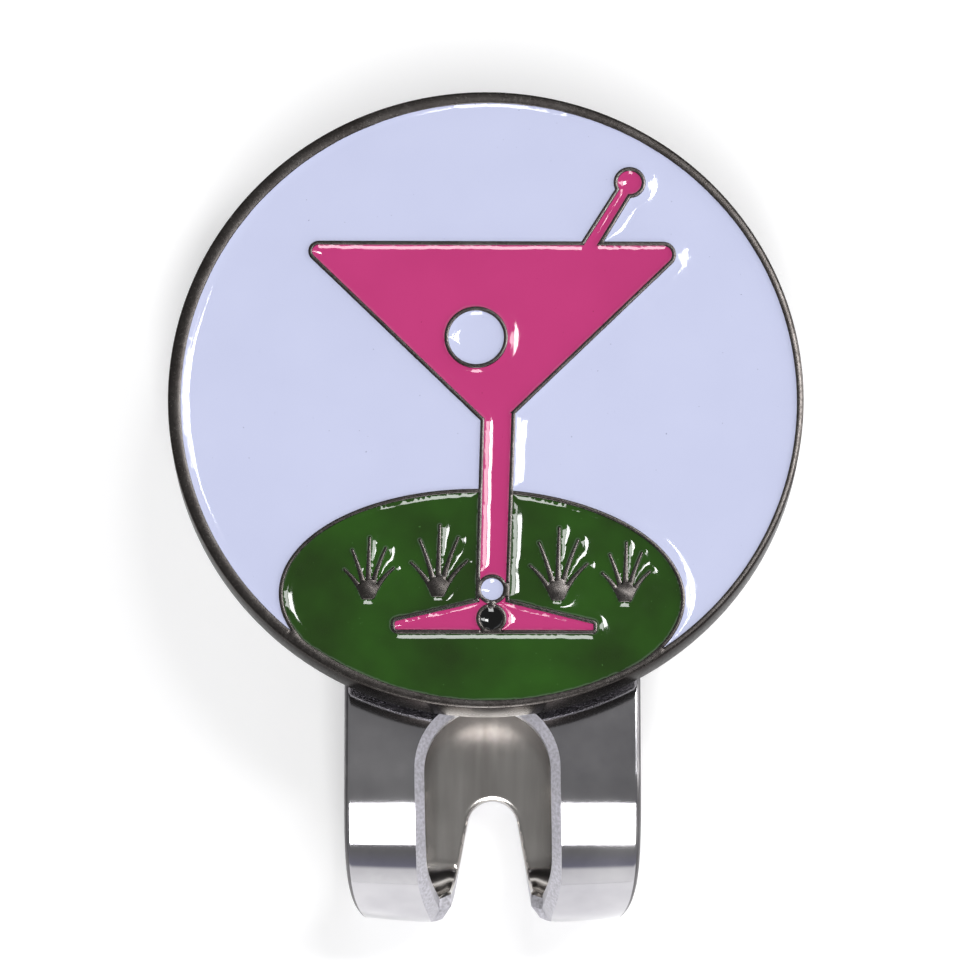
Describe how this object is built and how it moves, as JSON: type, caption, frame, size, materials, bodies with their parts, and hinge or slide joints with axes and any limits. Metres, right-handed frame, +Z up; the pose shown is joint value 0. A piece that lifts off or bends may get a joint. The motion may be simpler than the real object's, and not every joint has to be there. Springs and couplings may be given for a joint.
{
  "type": "golf ball marker on hat clip",
  "caption": "Round enamelled golf ball marker held by a disc magnet on the front plate of a bent, slotted metal hat clip; the marker lifts off and the clip springs open.",
  "frame": {"origin": "on the flat back of the rear leg, in the clip's plane of symmetry, under the middle of the magnet and marker on the front plate", "axes": "+X across the clip, +Y from the bend towards the jaws' open tips, +Z up, out of the marker's face; the clip lies on its rear leg and the front plate leans 8 degrees towards +Y"},
  "size_m": [0.0251, 0.0331, 0.0098],
  "materials": {
    "plated_strip": "bright nickel plate with fine rolling and tumbling marks",
    "plated_blank": "dark nickel plate, worn brighter on the rim",
    "plated_magnet": "bright nickel plate",
    "adhesive": "cured clear adhesive",
    "white_enamel": "soft enamel, gloss, faintly lavender white",
    "green_enamel": "soft enamel, gloss",
    "pink_enamel": "soft enamel, gloss",
    "black_enamel": "soft enamel, gloss"
  },
  "bodies": {
    "rear_leg": {"clip_rear_leg": "plated_strip"},
    "front_plate": {"clip_front_plate": "plated_strip", "magnet_adhesive": "adhesive", "magnet": "plated_magnet"},
    "marker": {"marker_blank": "plated_blank", "enamel_background": "white_enamel", "enamel_green": "green_enamel", "enamel_glass": "pink_enamel", "enamel_foot_left": "pink_enamel", "enamel_foot_right": "pink_enamel", "enamel_olive": "white_enamel", "enamel_ball_white": "white_enamel", "enamel_ball_black": "black_enamel"}
  },
  "joints": [
    {"name": "jaw_flex", "type": "hinge", "parent": "rear_leg", "child": "front_plate", "pos_m": [0, -0.0202, 0.0026], "axis": [1, 0, 0], "range_deg": [0, 6], "stiffness_Nm_per_rad": 3},
    {"name": "marker_lift", "type": "slide", "parent": "front_plate", "child": "marker", "axis": [0, 0.1392, 0.9903], "range_m": [0, 0.02]}
  ]
}
